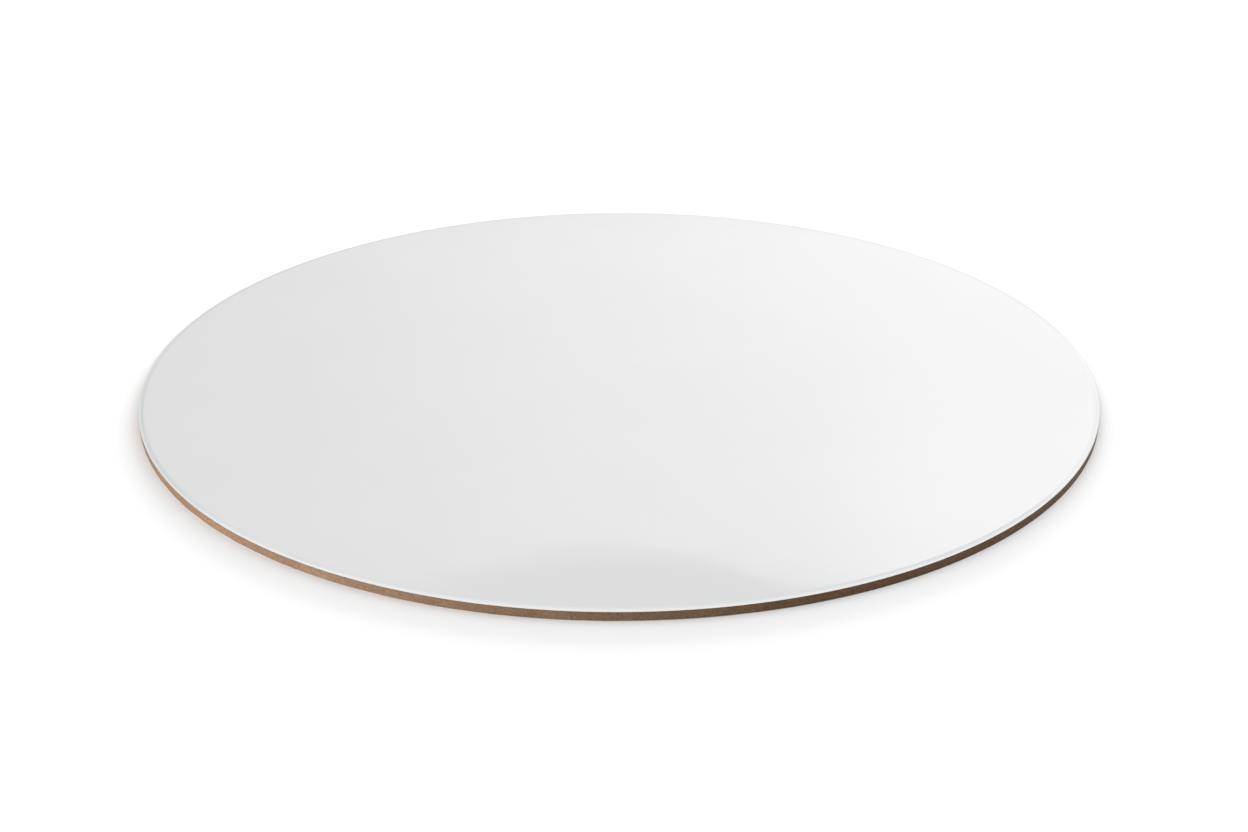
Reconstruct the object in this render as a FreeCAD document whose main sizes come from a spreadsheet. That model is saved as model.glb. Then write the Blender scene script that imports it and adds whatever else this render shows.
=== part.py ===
import FreeCAD, Part
import math
import os
import Sketcher

# A round board blank, 12 inches across and 3 mm thick: the solid kind of circle template, traced
# round its rim. It is a lay-up of sheets and glue films pressed together flat and then cut round
# in one pass, so every layer has the same diameter.
#
# Frame: the underside lies in the XY plane, +Z points up out of the white face, and the origin is
# the centre of the underside. Millimetres throughout.

# The driving dimensions, in millimetres: alias, value, meaning.
DIMENSIONS = (
    ("disc_diameter", 304.8, "diameter that every layer is cut to, 12 inches"),
    ("backing_thickness", 0.15, "brown backing sheet"),
    ("glue_thickness", 0.05, "each of the two glue films"),
    ("core_thickness", 2.4, "fibreboard core"),
    ("white_thickness", 0.15, "white face sheet"),
    ("clear_thickness", 0.2, "clear gloss sheet, away from the rim"),
    ("shoulder_width", 2.0, "how far in from the rim the gloss starts to roll down"),
    ("shoulder_drop", 0.15, "how far the gloss has rolled down at the rim"),
)
BOARD_THICKNESS = 3.0
SIZE_TOLERANCE = 1e-4


def size_sheet(doc):
    """Put the driving dimensions in a spreadsheet, one aliased cell each."""
    sheet = doc.addObject("Spreadsheet::Sheet", "Sizes")
    for row, (alias, value, meaning) in enumerate(DIMENSIONS, start=1):
        sheet.set(f"A{row}", meaning)
        sheet.set(f"B{row}", str(value))
        sheet.setAlias(f"B{row}", alias)
    doc.recompute()
    return sheet


def new_body(doc, name, layers_below):
    """Start a sub-part that lies on the layers whose thickness aliases are given."""
    body = doc.addObject("PartDesign::Body", name)
    body.Label = name
    if layers_below:
        height = " + ".join(f"Sizes.{alias}" for alias in layers_below)
        body.setExpression("Placement.Base.z", height)
    return body


def new_sketch(body, name, plane_role):
    """Start a sketch on one of the body's own origin planes."""
    sketch = body.newObject("Sketcher::SketchObject", name)
    plane = next(item for item in body.Origin.OriginFeatures if item.Role == plane_role)
    sketch.AttachmentSupport = (plane, [""])
    sketch.MapMode = "FlatFace"
    return sketch


def bind(sketch, name, constraint, expression):
    """Add a named dimension to a sketch and bind it to the spreadsheet."""
    index = sketch.addConstraint(constraint)
    sketch.renameConstraint(index, name)
    sketch.setExpression(f"Constraints.{name}", expression)


def plain_layer(doc, name, thickness_alias, layers_below):
    """A flat disc with a square rim: a circle padded to the layer's thickness."""
    sheet = doc.Sizes
    body = new_body(doc, name, layers_below)
    sketch = new_sketch(body, f"{name}_outline", "XY_Plane")
    centre = FreeCAD.Vector(0, 0, 0)
    up = FreeCAD.Vector(0, 0, 1)
    circle = sketch.addGeometry(Part.Circle(centre, up, sheet.disc_diameter / 2))
    sketch.addConstraint(Sketcher.Constraint("Coincident", circle, 3, -1, 1))
    diameter = Sketcher.Constraint("Diameter", circle, sheet.disc_diameter)
    bind(sketch, "disc_diameter", diameter, "Sizes.disc_diameter")
    pad = body.newObject("PartDesign::Pad", f"{name}_pad")
    pad.Profile = sketch
    pad.setExpression("Length", f"Sizes.{thickness_alias}")
    return body


def shoulder_profile(sketch, radius, thickness, width, drop):
    """Half the section of a disc whose top rolls down to the rim along one arc.

    The arc leaves the flat top without a crease, which fixes its radius: it has to fall by
    drop over a run of width.
    """
    arc_radius = (width**2 + drop**2) / (2 * drop)
    arc_centre = FreeCAD.Vector(radius - width, thickness - arc_radius, 0)
    rim_angle = math.atan2(arc_radius - drop, width)
    across = FreeCAD.Vector(0, 0, 1)
    centre = FreeCAD.Vector(0, 0, 0)
    rim_low = FreeCAD.Vector(radius, 0, 0)
    rim_high = FreeCAD.Vector(radius, thickness - drop, 0)
    roll_start = FreeCAD.Vector(radius - width, thickness, 0)
    centre_high = FreeCAD.Vector(0, thickness, 0)
    full_circle = Part.Circle(arc_centre, across, arc_radius)

    underside = sketch.addGeometry(Part.LineSegment(centre, rim_low))
    rim = sketch.addGeometry(Part.LineSegment(rim_low, rim_high))
    roll = sketch.addGeometry(Part.ArcOfCircle(full_circle, rim_angle, math.pi / 2))
    top = sketch.addGeometry(Part.LineSegment(roll_start, centre_high))
    axis = sketch.addGeometry(Part.LineSegment(centre_high, centre))

    start, end, origin = 1, 2, -1
    for rule in (
        ("Coincident", underside, start, origin, start),
        ("Coincident", underside, end, rim, start),
        ("Coincident", rim, end, roll, start),
        ("Tangent", roll, end, top, start),
        ("Coincident", top, end, axis, start),
        ("Coincident", axis, end, underside, start),
        ("Horizontal", underside),
        ("Vertical", rim),
        ("Horizontal", top),
        ("Vertical", axis),
    ):
        sketch.addConstraint(Sketcher.Constraint(*rule))

    run = Sketcher.Constraint("DistanceX", underside, start, underside, end, radius)
    rise = Sketcher.Constraint("DistanceY", axis, end, axis, start, thickness)
    roll_run = Sketcher.Constraint("DistanceX", roll, end, roll, start, width)
    roll_fall = Sketcher.Constraint("DistanceY", roll, start, roll, end, drop)
    bind(sketch, "disc_radius", run, "Sizes.disc_diameter / 2")
    bind(sketch, "sheet_thickness", rise, "Sizes.clear_thickness")
    bind(sketch, "roll_width", roll_run, "Sizes.shoulder_width")
    bind(sketch, "roll_drop", roll_fall, "Sizes.shoulder_drop")


def backing_sheet(doc):
    """Brown kraft sheet on the underside, which keeps the one-sided lay-up from curling."""
    return plain_layer(doc, "backing_sheet", "backing_thickness", ())


def back_glue_film(doc):
    """Glue film that holds the backing sheet to the core."""
    return plain_layer(doc, "back_glue_film", "glue_thickness", ("backing_thickness",))


def fibreboard_core(doc):
    """Dense brown fibreboard, which is the body of the blank and the brown of its rim."""
    below = ("backing_thickness", "glue_thickness")
    return plain_layer(doc, "fibreboard_core", "core_thickness", below)


def face_glue_film(doc):
    """Glue film that holds the face to the core."""
    below = ("backing_thickness", "glue_thickness", "core_thickness")
    return plain_layer(doc, "face_glue_film", "glue_thickness", below)


def white_face_sheet(doc):
    """Opaque white sheet that gives the face its colour."""
    below = ("backing_thickness", "glue_thickness", "core_thickness", "glue_thickness")
    return plain_layer(doc, "white_face_sheet", "white_thickness", below)


def clear_gloss_sheet(doc):
    """Clear glossy top sheet, rolled down at the rim by the cutter: a section turned about Z."""
    name = "clear_gloss_sheet"
    sheet = doc.Sizes
    below = (
        "backing_thickness",
        "glue_thickness",
        "core_thickness",
        "glue_thickness",
        "white_thickness",
    )
    body = new_body(doc, name, below)
    sketch = new_sketch(body, f"{name}_section", "XZ_Plane")
    shoulder_profile(
        sketch,
        sheet.disc_diameter / 2,
        sheet.clear_thickness,
        sheet.shoulder_width,
        sheet.shoulder_drop,
    )
    turned = body.newObject("PartDesign::Revolution", f"{name}_turned")
    turned.Profile = sketch
    turned.ReferenceAxis = (sketch, ["V_Axis"])
    turned.Angle = 360
    return body


def tight_box(body):
    """The box round the solid itself, without the spare room that curved faces add."""
    return body.Shape.optimalBoundingBox(False, False)


def check(doc, bodies):
    """Stop unless every object recomputed and the layers stack up to the board's thickness."""
    for item in doc.Objects:
        if "Invalid" in item.State or "Error" in item.State:
            raise RuntimeError(f"{item.Label} did not recompute: {item.State}")
    for body in bodies:
        shape = body.Shape
        if shape.isNull() or not shape.isValid() or len(shape.Solids) != 1:
            raise RuntimeError(f"{body.Label} is not one valid solid")
    for lower, upper in zip(bodies, bodies[1:]):
        gap = tight_box(upper).ZMin - tight_box(lower).ZMax
        if abs(gap) > SIZE_TOLERANCE:
            raise RuntimeError(f"{upper.Label} does not lie on {lower.Label}")
    top = tight_box(bodies[-1]).ZMax
    if abs(top - BOARD_THICKNESS) > SIZE_TOLERANCE:
        raise RuntimeError(f"the layers stack up to {top} mm")


def write(bodies):
    """Write each sub-part to its own STEP file, named after its node."""
    os.makedirs("parts", exist_ok=True)
    for body in bodies:
        body.Shape.exportStep(f"parts/{body.Label}.step")
        print(f"{body.Label}: {body.Shape.Volume:.1f} mm3, top at {tight_box(body).ZMax:.3f} mm")


def main():
    doc = FreeCAD.newDocument("CircleTemplate")
    size_sheet(doc)
    bodies = [
        backing_sheet(doc),
        back_glue_film(doc),
        fibreboard_core(doc),
        face_glue_film(doc),
        white_face_sheet(doc),
        clear_gloss_sheet(doc),
    ]
    doc.recompute()
    check(doc, bodies)
    write(bodies)


main()
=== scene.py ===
import math

import bpy
from mathutils import Matrix, Vector, noise


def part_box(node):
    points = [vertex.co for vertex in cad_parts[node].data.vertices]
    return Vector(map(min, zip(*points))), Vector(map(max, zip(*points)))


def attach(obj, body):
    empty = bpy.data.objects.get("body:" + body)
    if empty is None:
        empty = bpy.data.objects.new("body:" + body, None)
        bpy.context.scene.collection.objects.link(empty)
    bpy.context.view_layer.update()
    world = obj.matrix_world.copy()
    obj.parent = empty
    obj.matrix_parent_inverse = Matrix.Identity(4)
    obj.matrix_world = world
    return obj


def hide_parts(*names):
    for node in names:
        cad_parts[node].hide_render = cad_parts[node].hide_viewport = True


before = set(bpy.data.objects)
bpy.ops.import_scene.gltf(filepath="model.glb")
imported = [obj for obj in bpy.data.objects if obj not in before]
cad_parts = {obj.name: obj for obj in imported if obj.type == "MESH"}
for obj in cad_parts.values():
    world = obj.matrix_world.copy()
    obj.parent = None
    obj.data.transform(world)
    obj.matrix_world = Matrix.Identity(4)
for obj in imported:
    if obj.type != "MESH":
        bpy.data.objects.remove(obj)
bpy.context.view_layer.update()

# A round board blank, 12 inches across: brown fibreboard with a glued-on white gloss face and a
# kraft backing. Each of its six layers is one piece here, in place of the CAD node of that layer.

MM = 0.001
BODY = "root"


def layer_heights(node):
    """The heights of the underside and the top of one CAD layer."""
    low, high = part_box(node)
    return low.z, high.z


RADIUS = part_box("fibreboard_core")[1].x
CORE_LOW, CORE_HIGH = layer_heights("fibreboard_core")
WHITE_LOW, WHITE_HIGH = layer_heights("white_face_sheet")
CLEAR_LOW, CLEAR_HIGH = layer_heights("clear_gloss_sheet")

# ---------------------------------------------------------------- mesh building


# How far out the rings of a flat cap lie, as shares of its radius.
CAP_SHARES = (0.3, 0.6, 0.85, 0.96)
EDGE_STEPS = 4


def arc(centre, radius, start_degrees, end_degrees, steps):
    """Points of a round stretch of a section, as (distance from the axis, height)."""
    points = []
    for step in range(steps + 1):
        angle = math.radians(start_degrees + (end_degrees - start_degrees) * step / steps)
        across = centre[0] + radius * math.cos(angle)
        points.append((across, centre[1] + radius * math.sin(angle)))
    return points


def cap_rings(radius, height):
    """Points of a flat cap from near its middle out to its edge, closer together outwards."""
    return [(radius * share, height) for share in CAP_SHARES]


def disc_section(radius, low, high, edge, wall_rows):
    """Section of a flat disc with both rims rounded: underside, wall and top, outwards and back."""
    section = cap_rings(radius, low)
    section += arc((radius - edge, low + edge), edge, -90, 0, EDGE_STEPS)
    wall = high - low - 2 * edge
    section += [(radius, low + edge + wall * row / wall_rows) for row in range(1, wall_rows)]
    section += arc((radius - edge, high - edge), edge, 0, 90, EDGE_STEPS)
    section += reversed(cap_rings(radius, high))
    return section


def turn(name, section, segments, relief=None):
    """A closed solid of revolution. relief moves each ring vertex inwards by what it returns."""
    points = [Vector((0.0, 0.0, section[0][1]))]
    for across, height in section:
        for step in range(segments):
            angle = 2 * math.pi * step / segments
            outwards = Vector((math.cos(angle), math.sin(angle), 0.0))
            point = outwards * across + Vector((0.0, 0.0, height))
            if relief:
                point -= outwards * relief(point, across)
            points.append(point)
    points.append(Vector((0.0, 0.0, section[-1][1])))

    def vertex(ring, step):
        return 1 + ring * segments + step % segments

    last_ring = len(section) - 1
    top_centre = len(points) - 1
    faces = []
    for step in range(segments):
        faces.append((0, vertex(0, step + 1), vertex(0, step)))
        faces.append((top_centre, vertex(last_ring, step), vertex(last_ring, step + 1)))
        for ring in range(last_ring):
            near, far = vertex(ring, step), vertex(ring, step + 1)
            above_far, above_near = vertex(ring + 1, step + 1), vertex(ring + 1, step)
            faces.append((near, far, above_far, above_near))

    mesh = bpy.data.meshes.new(name)
    mesh.from_pydata(points, [], faces)
    mesh.shade_smooth()
    piece = bpy.data.objects.new(name, mesh)
    bpy.context.scene.collection.objects.link(piece)
    return piece


# ---------------------------------------------------------------- the layers of the board

SEGMENTS = 1440
CORE_SEGMENTS = 2880
CORE_ROWS = 12
CORE_RELIEF = 0.03 * MM
WALL_REACH = 0.3 * MM

# The rim of the gloss rolls down: a soft corner, a straight bevel, a steeper lip and a round edge.
CORNER_WIDTH = 0.6 * MM
BEVEL_WIDTH = 0.85 * MM
LIP_WIDTH = 0.38 * MM
EDGE_WIDTH = 0.02 * MM
ROLL_WIDTH = CORNER_WIDTH + BEVEL_WIDTH + LIP_WIDTH + EDGE_WIDTH
BEVEL_SLOPE = math.radians(5.5)
LIP_SLOPE = math.radians(14)
EDGE_SLOPE = math.radians(90)
BEVEL_SHARES = (0.05, 0.5, 0.95, 1)
FLAT_MARGIN = 0.3 * MM
GLOSS_INSET = 0.01 * MM


def fibre_relief(point, across):
    """How deep the cut has pulled fibres out of the core's wall at a point, in metres."""
    if across < RADIUS - WALL_REACH:
        return 0.0
    at = point / MM
    flakes = noise.noise(Vector((at.x * 0.5, at.y * 0.5, at.z * 2.2)))
    grains = noise.noise(Vector((at.x * 1.7, at.y * 1.7, at.z * 3.0)) + Vector((40, 0, 0)))
    return max(0.0, 0.5 + 0.6 * flakes + 0.5 * grains) * CORE_RELIEF


def make_backing_sheet():
    """The kraft paper, cut a hair smaller than the core."""
    low, high = layer_heights("backing_sheet")
    section = disc_section(RADIUS - 0.02 * MM, low, high, edge=0.03 * MM, wall_rows=2)
    return turn("kraft_backing", section, SEGMENTS)


def make_back_glue_film():
    """The glue line above the kraft paper, a little sunken."""
    low, high = layer_heights("back_glue_film")
    section = disc_section(RADIUS - 0.06 * MM, low, high, edge=0.01 * MM, wall_rows=1)
    return turn("back_glue_line", section, SEGMENTS)


def make_fibreboard_core():
    """The brown core, with the fibres that the cut has pulled out of its wall."""
    radius = RADIUS - 0.01 * MM
    section = disc_section(radius, CORE_LOW, CORE_HIGH, edge=0.04 * MM, wall_rows=CORE_ROWS)
    return turn("fibreboard", section, CORE_SEGMENTS, fibre_relief)


def make_face_glue_film():
    """The glue line under the white sheet, a little sunken."""
    low, high = layer_heights("face_glue_film")
    section = disc_section(RADIUS - 0.08 * MM, low, high, edge=0.01 * MM, wall_rows=1)
    return turn("face_glue_line", section, SEGMENTS)


def make_white_sheet():
    """The opaque white sheet, whose cut edge shows above the brown."""
    radius = RADIUS - 0.01 * MM
    section = disc_section(radius, WHITE_LOW, WHITE_HIGH, edge=0.02 * MM, wall_rows=3)
    return turn("white_sheet", section, SEGMENTS)


def roll_down(start, width, slope, end_slope, steps):
    """Points out and down from start, over a width, on an arc that goes from slope to end_slope."""
    radius = width / (math.sin(end_slope) - math.sin(slope))
    points = []
    for step in range(1, steps + 1):
        now = slope + (end_slope - slope) * step / steps
        across = start[0] + radius * (math.sin(now) - math.sin(slope))
        points.append((across, start[1] - radius * (math.cos(slope) - math.cos(now))))
    return points


def make_gloss_face():
    """The glossy top: flat, and rolled down at its rim."""
    top = cap_rings(RADIUS, CLEAR_HIGH)
    flat_end = RADIUS - ROLL_WIDTH
    top += [(flat_end - FLAT_MARGIN, CLEAR_HIGH), (flat_end, CLEAR_HIGH)]
    top += roll_down(top[-1], CORNER_WIDTH, 0, BEVEL_SLOPE, steps=8)
    bevel_start, bevel_top = top[-1]
    for share in BEVEL_SHARES:
        run = BEVEL_WIDTH * share
        top += [(bevel_start + run, bevel_top - run * math.tan(BEVEL_SLOPE))]
    top += roll_down(top[-1], LIP_WIDTH, BEVEL_SLOPE, LIP_SLOPE, steps=6)
    top += roll_down(top[-1], EDGE_WIDTH, LIP_SLOPE, EDGE_SLOPE, steps=4)
    section = cap_rings(RADIUS, CLEAR_LOW)
    section += [(RADIUS - GLOSS_INSET, CLEAR_LOW)]
    section += reversed(top)
    return turn("gloss_face", section, SEGMENTS)


# ---------------------------------------------------------------- shading

# Finish colours, as linear red, green and blue.
BROWN_DARK = (0.071, 0.0345, 0.0184, 1)
BROWN_LIGHT = (0.189, 0.11, 0.062, 1)
BROWN_FIBRE = (0.30, 0.2, 0.1266, 1)
BROWN_BARK = (0.04, 0.02, 0.011, 1)
KRAFT_DARK = (0.20, 0.125, 0.07, 1)
KRAFT_LIGHT = (0.33, 0.22, 0.135, 1)
KRAFT_FIBRE = (0.45, 0.33, 0.22, 1)
GLUE_DARK = (0.035, 0.02, 0.012, 1)
GLUE_AMBER = (0.12, 0.06, 0.025, 1)
FACE_WHITE = (0.777, 0.78, 0.779, 1)
FACE_SHADE = (0.766, 0.769, 0.769, 1)
ROLL_TINT = (0.742, 0.761, 0.765, 1)
# The white sheet's cut edge, and also the colour of the highlight painted along the gloss face's
# rim.
EDGE_WHITE_AND_HIGHLIGHT = (0.845, 0.865, 0.865, 1)
EDGE_SHADE = (0.84, 0.865, 0.87, 1)

# How far in from the rim, in millimetres, the cool tint and the painted highlight along the cut
# edge start and are full.
TINT_START, TINT_FULL = 1.9, 1.5
HIGHLIGHT_START, HIGHLIGHT_FULL = 0.9, 0.4

# The sockets of a Mix node that mixes colours.
MIX_SHARE = 0
MIX_FIRST = 6
MIX_SECOND = 7
MIX_RESULT = 2


class Shading:
    """One node tree. Every method adds a node, feeds its inputs and returns its output."""

    def __init__(self, tree):
        self.nodes = tree.nodes
        self.links = tree.links

    def feed(self, socket, value):
        """Join a socket to another node's output, or set it where the value is plain."""
        if isinstance(value, bpy.types.NodeSocket):
            self.links.new(value, socket)
        else:
            socket.default_value = value

    def maths(self, operation, *values):
        node = self.nodes.new("ShaderNodeMath")
        node.operation = operation
        for socket, value in zip(node.inputs, values):
            self.feed(socket, value)
        return node.outputs["Value"]

    def add(self, *values):
        total = values[0]
        for value in values[1:]:
            total = self.maths("ADD", total, value)
        return total

    def times(self, *values):
        product = values[0]
        for value in values[1:]:
            product = self.maths("MULTIPLY", product, value)
        return product

    def fade(self, value, start, end, low=0.0, high=1.0):
        """Go smoothly from low to high while value goes from start to end."""
        node = self.nodes.new("ShaderNodeMapRange")
        node.interpolation_type = "SMOOTHSTEP"
        for name, number in (
            ("From Min", start),
            ("From Max", end),
            ("To Min", low),
            ("To Max", high),
        ):
            node.inputs[name].default_value = number
        self.feed(node.inputs["Value"], value)
        return node.outputs["Result"]

    def separate(self, vector):
        node = self.nodes.new("ShaderNodeSeparateXYZ")
        self.feed(node.inputs["Vector"], vector)
        return node.outputs["X"], node.outputs["Y"], node.outputs["Z"]

    def scaled(self, vector, factors):
        node = self.nodes.new("ShaderNodeVectorMath")
        node.operation = "MULTIPLY"
        self.feed(node.inputs[0], vector)
        node.inputs[1].default_value = factors
        return node.outputs["Vector"]

    def dot(self, vector, fixed):
        node = self.nodes.new("ShaderNodeVectorMath")
        node.operation = "DOT_PRODUCT"
        self.feed(node.inputs[0], vector)
        node.inputs[1].default_value = fixed
        return node.outputs["Value"]

    def millimetres(self):
        """Where a point lies on the object, in millimetres."""
        node = self.nodes.new("ShaderNodeTexCoord")
        return self.scaled(node.outputs["Object"], (1 / MM, 1 / MM, 1 / MM))

    def grain(self, place, size, detail=3.0, roughness=0.5):
        """Noise from 0 to 1 whose lumps are about size millimetres across."""
        node = self.nodes.new("ShaderNodeTexNoise")
        self.feed(node.inputs["Vector"], place)
        node.inputs["Scale"].default_value = 1 / size
        node.inputs["Detail"].default_value = detail
        node.inputs["Roughness"].default_value = roughness
        return node.outputs["Fac"]

    def flecks(self, place, spacing):
        """How far a point is from the nearest of many scattered spots, in spacings."""
        node = self.nodes.new("ShaderNodeTexVoronoi")
        self.feed(node.inputs["Vector"], place)
        node.inputs["Scale"].default_value = 1 / spacing
        return node.outputs["Distance"]

    def mix(self, share, first, second):
        """A colour that goes from first to second as share goes from 0 to 1."""
        node = self.nodes.new("ShaderNodeMix")
        node.data_type = "RGBA"
        self.feed(node.inputs[MIX_SHARE], share)
        self.feed(node.inputs[MIX_FIRST], first)
        self.feed(node.inputs[MIX_SECOND], second)
        return node.outputs[MIX_RESULT]

    def bump(self, height, depth):
        """A normal for a surface whose height goes up by depth metres as height goes 0 to 1."""
        node = self.nodes.new("ShaderNodeBump")
        node.inputs["Distance"].default_value = depth
        self.feed(node.inputs["Height"], height)
        return node.outputs["Normal"]


def new_material(name):
    """A material, its node tree and its shader."""
    material = bpy.data.materials.new(name)
    material.use_nodes = True
    return material, Shading(material.node_tree), material.node_tree.nodes["Principled BSDF"]


def fibreboard_material():
    """Cut edge of dense brown board: flakes pressed flat, bark specks, pale fibres, dark skins;
    painted shade under the white.
    """
    material, shading, shader = new_material("cut_fibreboard")
    place = shading.millimetres()
    pressed = shading.scaled(place, (1.0, 1.0, 2.5))
    flakes = shading.grain(pressed, 0.45, 3.0, 0.6)
    fibres = shading.grain(shading.scaled(place, (1.0, 1.0, 6.0)), 1.3, 2.0)
    clouds = shading.grain(place, 9.0, 2.0)
    specks = shading.flecks(pressed, 0.9)

    brown = shading.mix(shading.fade(flakes, 0.3, 0.7), BROWN_DARK, BROWN_LIGHT)
    brown = shading.mix(shading.fade(fibres, 0.6, 0.75, 0.0, 0.45), brown, BROWN_FIBRE)
    brown = shading.mix(shading.fade(specks, 0.16, 0.08, 0.0, 0.7), brown, BROWN_BARK)
    brown = shading.mix(shading.fade(clouds, 0.35, 0.65, 0.0, 0.25), brown, BROWN_DARK)
    height = shading.separate(place)[2]
    # The dark band at the top is partly the board's dense skin and partly painted shade under the
    # white sheet.
    top_skin_and_painted_shade = shading.fade(height, CORE_HIGH / MM - 0.35, CORE_HIGH / MM - 0.05, 0.0, 0.5)
    bottom_skin = shading.fade(height, CORE_LOW / MM + 0.3, CORE_LOW / MM, 0.0, 0.4)
    brown = shading.mix(shading.add(top_skin_and_painted_shade, bottom_skin), brown, BROWN_DARK)
    shading.feed(shader.inputs["Base Color"], brown)
    shading.feed(shader.inputs["Roughness"], shading.fade(flakes, 0.3, 0.7, 0.72, 0.5))
    shader.inputs["Specular IOR Level"].default_value = 0.15
    relief = shading.add(flakes, shading.times(fibres, 0.5))
    shading.feed(shader.inputs["Normal"], shading.bump(relief, 0.06 * MM))
    return material


def kraft_material():
    """Brown kraft paper: cloudy pulp, long soft fibres lying both ways, a fine dry grain."""
    material, shading, shader = new_material("kraft_backing_paper")
    place = shading.millimetres()
    clouds = shading.grain(place, 7.0, 4.0, 0.6)
    grain = shading.grain(place, 0.25, 2.0)
    along = shading.grain(shading.scaled(place, (0.25, 2.2, 1.0)), 0.8, 3.0)
    across = shading.grain(shading.scaled(place, (2.2, 0.35, 1.0)), 0.8, 3.0)
    specks = shading.flecks(place, 3.5)

    brown = shading.mix(shading.fade(clouds, 0.3, 0.7), KRAFT_DARK, KRAFT_LIGHT)
    brown = shading.mix(shading.fade(along, 0.55, 0.72, 0.0, 0.5), brown, KRAFT_FIBRE)
    brown = shading.mix(shading.fade(across, 0.6, 0.75, 0.0, 0.35), brown, KRAFT_FIBRE)
    brown = shading.mix(shading.fade(specks, 0.07, 0.04, 0.0, 0.6), brown, BROWN_BARK)
    brown = shading.mix(shading.fade(grain, 0.35, 0.65, 0.0, 0.2), brown, KRAFT_DARK)
    shading.feed(shader.inputs["Base Color"], brown)
    shading.feed(shader.inputs["Roughness"], shading.fade(clouds, 0.3, 0.7, 0.85, 0.7))
    relief = shading.add(grain, shading.times(shading.add(along, across), 0.8))
    shading.feed(shader.inputs["Normal"], shading.bump(relief, 0.03 * MM))
    return material


def glue_material():
    """Set amber glue: darker where it is thick, with a dull skin of saw dust here and there."""
    material, shading, shader = new_material("amber_glue")
    place = shading.millimetres()
    thick = shading.grain(place, 1.5, 3.0)
    dust = shading.grain(place, 0.3, 2.0)
    amber = shading.mix(shading.fade(thick, 0.35, 0.65), GLUE_DARK, GLUE_AMBER)
    amber = shading.mix(shading.fade(dust, 0.55, 0.7, 0.0, 0.6), amber, BROWN_LIGHT)
    shading.feed(shader.inputs["Base Color"], amber)
    shading.feed(shader.inputs["Roughness"], shading.fade(dust, 0.4, 0.7, 0.3, 0.8))
    shading.feed(shader.inputs["Normal"], shading.bump(thick, 0.02 * MM))
    return material


def white_sheet_material():
    """Cut edge of the white sheet: short saw marks, and a trace of brown dust at the bottom."""
    material, shading, shader = new_material("white_sheet_edge")
    place = shading.millimetres()
    marks = shading.grain(shading.scaled(place, (1.0, 1.0, 0.3)), 0.35, 2.0)
    dust = shading.grain(place, 0.8, 3.0)
    height = shading.separate(place)[2]
    low = shading.fade(height, WHITE_LOW / MM + 0.1, WHITE_LOW / MM, 0.0, 0.35)
    white = shading.mix(shading.fade(marks, 0.35, 0.65), EDGE_WHITE_AND_HIGHLIGHT, EDGE_SHADE)
    dusty = shading.times(low, shading.fade(dust, 0.4, 0.7))
    shading.feed(shader.inputs["Base Color"], shading.mix(dusty, white, BROWN_LIGHT))
    shading.feed(shader.inputs["Roughness"], shading.fade(marks, 0.3, 0.7, 0.35, 0.55))
    shading.feed(shader.inputs["Normal"], shading.bump(marks, 0.01 * MM))
    return material


def gloss_material():
    """White under a hard clear sheet: a near mirror with a faint ripple.

    It takes a cool tint where it rolls down, and a highlight is painted along its cut edge as a
    whiter band.
    """
    material, shading, shader = new_material("clear_gloss_over_white")
    place = shading.millimetres()
    x, y, _ = shading.separate(place)
    out = shading.maths("SQRT", shading.add(shading.times(x, x), shading.times(y, y)))
    rim = RADIUS / MM
    ripple = shading.grain(place, 14.0, 1.0)
    peel = shading.grain(place, 1.6, 1.0)
    smudge = shading.grain(place, 45.0, 4.0, 0.6)

    roll = shading.fade(out, rim - TINT_START, rim - TINT_FULL)
    # A whiter band along the rim: a painted highlight for the light that the glassy cut edge
    # catches.
    edge = shading.fade(out, rim - HIGHLIGHT_START, rim - HIGHLIGHT_FULL)
    white = shading.mix(shading.fade(smudge, 0.3, 0.7), FACE_WHITE, FACE_SHADE)
    white = shading.mix(roll, white, ROLL_TINT)
    white = shading.mix(edge, white, EDGE_WHITE_AND_HIGHLIGHT)
    shading.feed(shader.inputs["Base Color"], white)
    shading.feed(shader.inputs["Roughness"], shading.fade(smudge, 0.3, 0.7, 0.045, 0.07))
    shader.inputs["IOR"].default_value = 1.5
    relief = shading.add(ripple, shading.times(peel, 0.05))
    shading.feed(shader.inputs["Normal"], shading.bump(relief, 0.02 * MM))
    return material


# ---------------------------------------------------------------- camera, floor and lights

CAMERA_PLACE = (1.49 * MM, -520.14 * MM, 231.28 * MM)
CAMERA_PITCH = 25.43
CAMERA_ROLL = -0.103
LENS = 50.13
SENSOR_WIDTH = 36.0

FLOOR_HALF = 6.0
FLOOR_COLOUR = (0.7, 0.7, 0.7, 1)
FLOOR_ROUGHNESS = 0.9

# The studio is painted on directions, in degrees: elevation, and azimuth clockwise from +Y.
# A patch is its lowest and highest elevation, its left and right azimuth, and how softly it ends.
# A ramp is the two angles it runs between, and its strength at each where that isn't 0 and 1.
WALL_GLOW = 0.12
CEILING = (30, 33, 0.0, 0.85)
LAMP = (38, 58, -30, 16, 5)
LAMP_ACROSS = (-8, 10, 0.75, 0.3)
WINDOW = (3, 30, -20, 30, 2)
WINDOW_RIGHT_END = (28, 19)
WINDOW_UPWARDS = (16, 20, 0.6, 0.98)
WINDOW_ACROSS = (-26, 22, 0.38, 2.0)
CORNER_ACROSS = (4, 13)
CORNER_UPWARDS = (22, 29, 0.0, 0.5)
RIGHT_WINDOW = (3, 42, 35, 105, 6)
RIGHT_WINDOW_GLOW = 1.25
LEFT_WINDOW = (0, 30, -130, -28, 5)
LEFT_WINDOW_GLOW = 0.4

FLAG_AZIMUTH = -0.5
FLAG_ELEVATION = 46
FLAG_RADIUS = 16.1
FLAG_SOFTNESS = 0.2
FLAG_TOP = (39, 35)
FLAG_GLOW = 0.4

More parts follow.
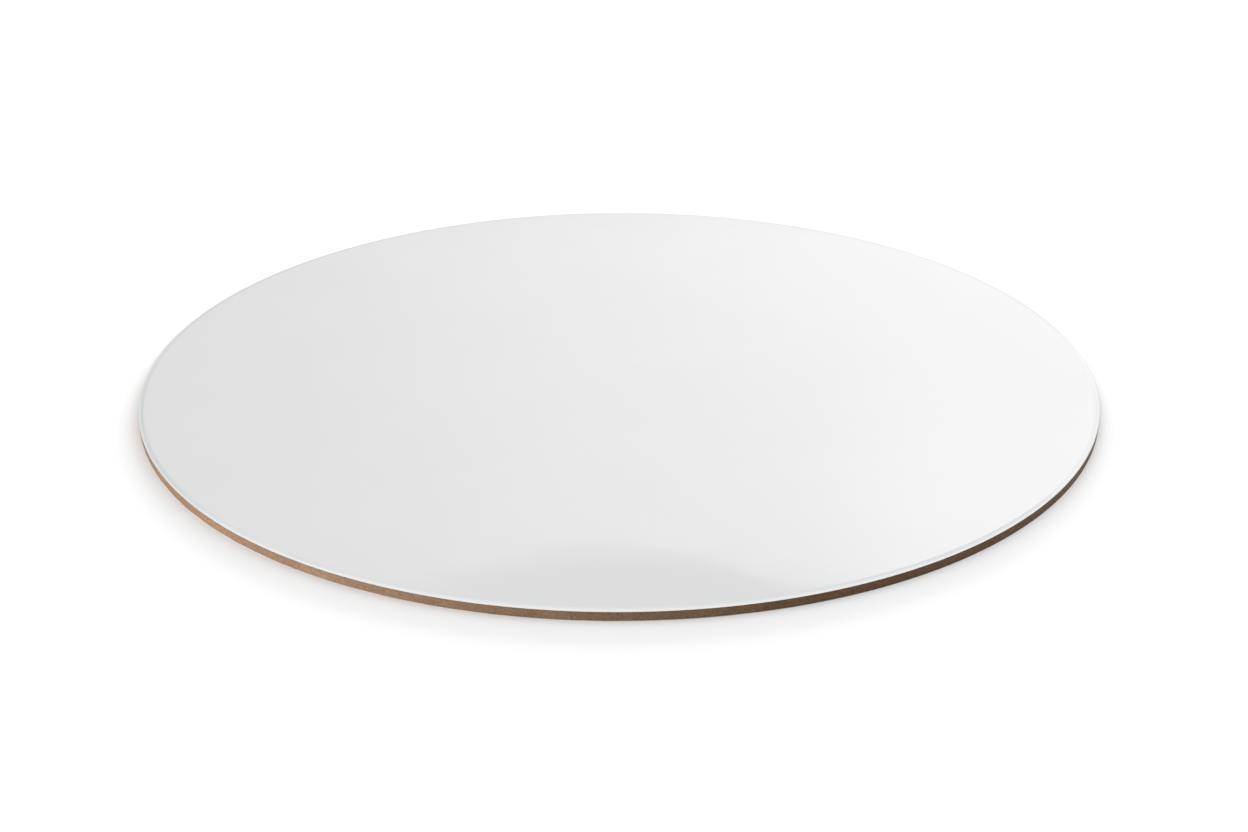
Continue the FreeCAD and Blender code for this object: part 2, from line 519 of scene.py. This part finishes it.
# The three lights: places and sizes in metres, directions in degrees.
BACK_PLACE = (0.1, 1.15, 0.3)
BACK_SIZE = (1.0, 0.2)
BACK_POWER = 14.0
FILL_AZIMUTH = 180
FILL_ELEVATION = 40
FILL_SPREAD = 50
FILL_STRENGTH = 1.6
KEY_PLACE = (-0.329, -0.307, 0.06)
KEY_SIZE = (0.16, 0.08)
KEY_POWER = 2.85
KEY_COLOUR = (0.92, 1.03, 1.11)


def make_camera():
    """The camera, in front of the board and looking down at it, a hair off level."""
    data = bpy.data.cameras.new("camera")
    data.lens = LENS
    data.sensor_width = SENSOR_WIDTH
    camera = bpy.data.objects.new("camera", data)
    bpy.context.scene.collection.objects.link(camera)
    tilt = Matrix.Rotation(math.radians(90 - CAMERA_PITCH), 4, "X")
    roll = Matrix.Rotation(math.radians(CAMERA_ROLL), 4, "Z")
    camera.matrix_world = Matrix.Translation(CAMERA_PLACE) @ tilt @ roll
    bpy.context.scene.camera = camera


def make_floor():
    """A plain pale table top."""
    low, high = -FLOOR_HALF, FLOOR_HALF
    mesh = bpy.data.meshes.new("floor")
    corners = [(low, low, 0), (high, low, 0), (high, high, 0), (low, high, 0)]
    mesh.from_pydata(corners, [], [(0, 1, 2, 3)])
    floor = bpy.data.objects.new("floor", mesh)
    bpy.context.scene.collection.objects.link(floor)
    material, _, shader = new_material("floor_white")
    shader.inputs["Base Color"].default_value = FLOOR_COLOUR
    shader.inputs["Roughness"].default_value = FLOOR_ROUGHNESS
    shader.inputs["Specular IOR Level"].default_value = 0.0
    mesh.materials.append(material)
    return floor


def toward(azimuth, elevation):
    """Unit vector at an azimuth clockwise from +Y and an elevation, both in degrees."""
    across = math.cos(math.radians(elevation))
    return Vector((
        across * math.sin(math.radians(azimuth)),
        across * math.cos(math.radians(azimuth)),
        math.sin(math.radians(elevation)),
    ))


def light_patch(shading, azimuth, elevation, low, high, left, right, soft):
    """1 inside a box of directions, falling off to 0 over soft degrees at its edges."""
    return shading.times(
        shading.fade(elevation, low - soft, low),
        shading.fade(elevation, high + soft, high),
        shading.fade(azimuth, left - soft, left),
        shading.fade(azimuth, right + soft, right),
    )


def back_window(shading, azimuth, elevation):
    """The low window behind the board: brighter upwards and to the right, most in that corner."""
    corner = (shading.fade(azimuth, *CORNER_ACROSS), shading.fade(elevation, *CORNER_UPWARDS))
    return shading.times(
        light_patch(shading, azimuth, elevation, *WINDOW),
        shading.fade(azimuth, *WINDOW_RIGHT_END),
        shading.fade(elevation, *WINDOW_UPWARDS),
        shading.add(shading.fade(azimuth, *WINDOW_ACROSS), shading.times(*corner)),
    )


def studio_walls(shading, azimuth, elevation):
    """Dim walls with a bright ceiling, a lamp in it, and low windows behind, right and left."""
    ceiling = shading.fade(elevation, *CEILING)
    lamp = light_patch(shading, azimuth, elevation, *LAMP)
    lamp = shading.times(lamp, shading.fade(azimuth, *LAMP_ACROSS))
    window = back_window(shading, azimuth, elevation)
    right_window = light_patch(shading, azimuth, elevation, *RIGHT_WINDOW)
    right_window = shading.times(right_window, RIGHT_WINDOW_GLOW)
    left_window = light_patch(shading, azimuth, elevation, *LEFT_WINDOW)
    left_window = shading.times(left_window, LEFT_WINDOW_GLOW)
    return shading.add(ceiling, lamp, window, right_window, left_window, WALL_GLOW)


def studio_flag(shading, direction, elevation):
    """1 on a dark flag with a round foot that hangs below the lamp, and 0 off it."""
    middle = toward(FLAG_AZIMUTH, FLAG_ELEVATION)
    off_flag = shading.maths("ARCCOSINE", shading.dot(direction, middle))
    off_flag = shading.maths("DEGREES", off_flag)
    return shading.times(
        shading.fade(off_flag, FLAG_RADIUS + FLAG_SOFTNESS, FLAG_RADIUS - FLAG_SOFTNESS),
        shading.fade(elevation, *FLAG_TOP),
    )


def make_studio():
    """The soft light all round. To the camera itself the studio is plain white."""
    world = bpy.data.worlds.new("studio")
    bpy.context.scene.world = world
    world.use_nodes = True
    shading = Shading(world.node_tree)
    direction = shading.nodes.new("ShaderNodeTexCoord").outputs["Generated"]
    x, y, z = shading.separate(direction)
    azimuth = shading.maths("DEGREES", shading.maths("ARCTAN2", x, y))
    elevation = shading.maths("DEGREES", shading.maths("ARCSINE", z))
    walls = studio_walls(shading, azimuth, elevation)
    flag = studio_flag(shading, direction, elevation)
    gap = shading.maths("SUBTRACT", 1, flag)
    radiance = shading.add(shading.times(walls, gap), shading.times(flag, FLAG_GLOW))

    background = shading.nodes["Background"]
    background.inputs["Color"].default_value = (1, 1, 1, 1)
    camera_sees = shading.nodes.new("ShaderNodeLightPath").outputs["Is Camera Ray"]
    unseen = shading.maths("SUBTRACT", 1, camera_sees)
    strength = shading.add(shading.times(radiance, unseen), camera_sees)
    shading.feed(background.inputs["Strength"], strength)


def new_light(name, kind, place, lit):
    """A light that shines from a place to the board's middle, on nothing but what is lit."""
    light = bpy.data.objects.new(name, bpy.data.lights.new(name, kind))
    bpy.context.scene.collection.objects.link(light)
    light.location = place
    light.rotation_mode = "QUATERNION"
    light.rotation_quaternion = (-Vector(place)).to_track_quat("-Z", "Y")
    light.visible_camera = False
    receivers = bpy.data.collections.new(f"lit_by_{name}")
    for item in lit:
        receivers.objects.link(item)
    light.light_linking.receiver_collection = receivers
    return light


def soft_box(name, place, size, power, lit):
    """A rectangular light, whose size is its width and height."""
    light = new_light(name, "AREA", place, lit)
    light.data.shape = "RECTANGLE"
    light.data.size, light.data.size_y = size
    light.data.energy = power
    return light


def make_back_light(lit):
    """A low strip behind the board, which no gloss reflects: it gives the front its shadow."""
    strip = soft_box("back_strip", BACK_PLACE, BACK_SIZE, BACK_POWER, lit)
    strip.visible_glossy = False


def make_front_fill(lit):
    """Very soft light from the front, which keeps the floor at the rim's foot from going dark."""
    fill = new_light("front_fill", "SUN", toward(FILL_AZIMUTH, FILL_ELEVATION), lit)
    fill.data.energy = FILL_STRENGTH
    fill.data.angle = math.radians(FILL_SPREAD)
    fill.visible_glossy = False


def make_key_light(lit):
    """A low, slightly cool soft box off to the left, close by."""
    key = soft_box("key", KEY_PLACE, KEY_SIZE, KEY_POWER, lit)
    key.data.color = KEY_COLOUR


FINISHES = {
    "kraft_backing": kraft_material,
    "glue": glue_material,
    "fibreboard": fibreboard_material,
    "white_sheet": white_sheet_material,
    "clear_gloss": gloss_material,
}
LAYERS = (
    (make_backing_sheet, "backing_sheet", "kraft_backing"),
    (make_back_glue_film, "back_glue_film", "glue"),
    (make_fibreboard_core, "fibreboard_core", "fibreboard"),
    (make_face_glue_film, "face_glue_film", "glue"),
    (make_white_sheet, "white_face_sheet", "white_sheet"),
    (make_gloss_face, "clear_gloss_sheet", "clear_gloss"),
)

make_camera()
floor = make_floor()
make_studio()
finishes = {slot: make_finish() for slot, make_finish in FINISHES.items()}
pieces = {}
for make_piece, node, slot in LAYERS:
    piece = make_piece()
    piece.data.materials.append(finishes[slot])
    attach(piece, BODY)
    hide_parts(node)
    pieces.setdefault(slot, []).append(piece)

brown_pieces = pieces["kraft_backing"] + pieces["glue"] + pieces["fibreboard"]
make_key_light(brown_pieces)
make_back_light(brown_pieces + pieces["white_sheet"] + [floor])
make_front_fill(pieces["white_sheet"] + [floor])

bpy.context.scene.view_settings.view_transform = "Standard"
